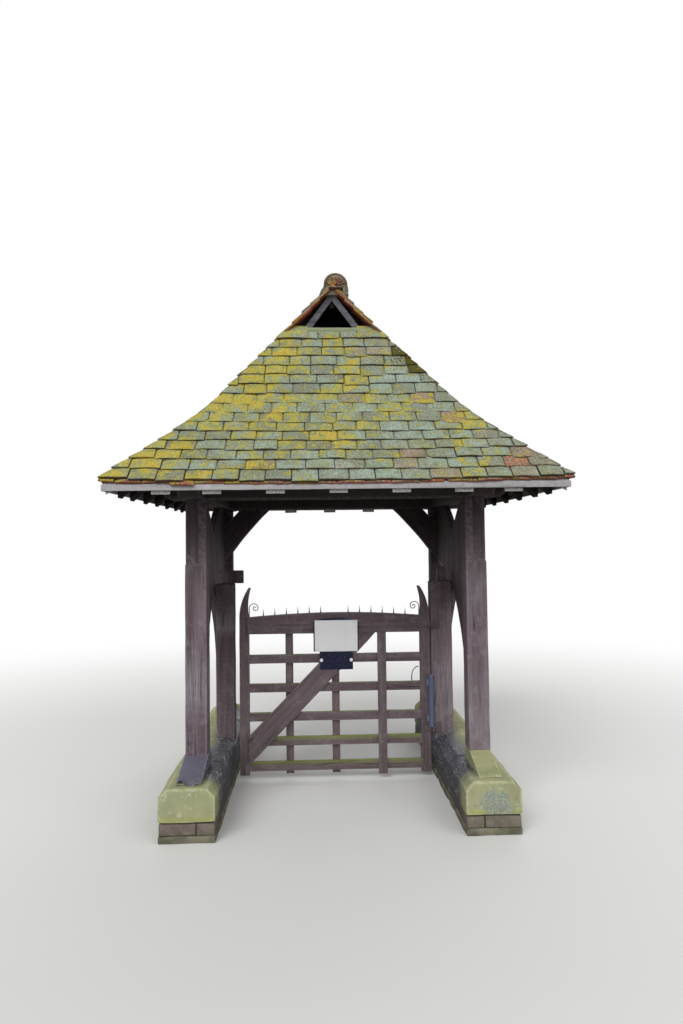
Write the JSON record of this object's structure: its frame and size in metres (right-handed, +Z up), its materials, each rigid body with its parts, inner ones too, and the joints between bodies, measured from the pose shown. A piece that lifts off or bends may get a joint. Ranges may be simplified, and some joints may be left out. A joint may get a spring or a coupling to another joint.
{
  "type": "lychgate",
  "caption": "Small hipped and tiled timber shelter on low stone plinths, with a side-hung field gate between short posts under it.",
  "frame": {"origin": "on the ground under the middle of the roof", "axes": "+X to the right of someone facing the gate from its front, +Y through the gateway to the rear, +Z up"},
  "size_m": [2.78, 2.78, 3.765],
  "materials": {
    "footing_brick": "rough, weathered",
    "coping_stone": "rough, mossy",
    "oak_frame": "dark stained, weathered",
    "weathered_board": "bare, silvered",
    "clay_tiles": "matt, lichen covered",
    "gate_timber": "weathered",
    "black_iron": "forged, dark",
    "tube_grey": "worn paint",
    "notice_white": "satin",
    "notice_navy": "satin"
  },
  "bodies": {
    "lychgate": {"plinth_left": "footing_brick", "plinth_right": "footing_brick", "coping_left": "coping_stone", "coping_right": "coping_stone", "stools_left": "coping_stone", "stools_right": "coping_stone", "post_front_left": "oak_frame", "post_front_right": "oak_frame", "post_rear_left": "oak_frame", "post_rear_right": "oak_frame", "gate_post_left": "oak_frame", "gate_post_right": "oak_frame", "tie_beam_front": "oak_frame", "tie_beam_rear": "oak_frame", "wall_plate_left": "oak_frame", "wall_plate_right": "oak_frame", "tie_braces_rear": "oak_frame", "arch_braces_left": "oak_frame", "arch_braces_right": "oak_frame", "rafter_plates_sides": "oak_frame", "rafter_plates_ends": "oak_frame", "hip_rafters": "oak_frame", "rafters_front": "oak_frame", "rafters_rear": "oak_frame", "rafters_left": "oak_frame", "rafters_right": "oak_frame", "collars": "oak_frame", "ridge_board": "oak_frame", "gablet_front": "weathered_board", "gablet_rear": "weathered_board", "eaves_boards_sides": "weathered_board", "eaves_boards_ends": "weathered_board", "roof_tiles_front": "clay_tiles", "roof_tiles_rear": "clay_tiles", "roof_tiles_left": "clay_tiles", "roof_tiles_right": "clay_tiles", "ridge_tiles": "clay_tiles", "hinge_pins": "black_iron"},
    "gate": {"gate_slam_stile": "gate_timber", "gate_hanging_stile": "gate_timber", "gate_top_rail": "gate_timber", "gate_rails": "gate_timber", "gate_uprights": "gate_timber", "gate_diagonal": "gate_timber", "gate_spikes": "black_iron", "gate_scrolls": "black_iron", "gate_hinges": "black_iron", "gate_notice": "notice_white", "gate_notice_back": "notice_navy", "closer_tube": "tube_grey"}
  },
  "joints": [
    {"name": "gate_hinge", "type": "hinge", "parent": "lychgate", "child": "gate", "pos_m": [0.742, -0.048, 0.75], "axis": [0, 0, 1], "range_deg": [0, 90]}
  ]
}
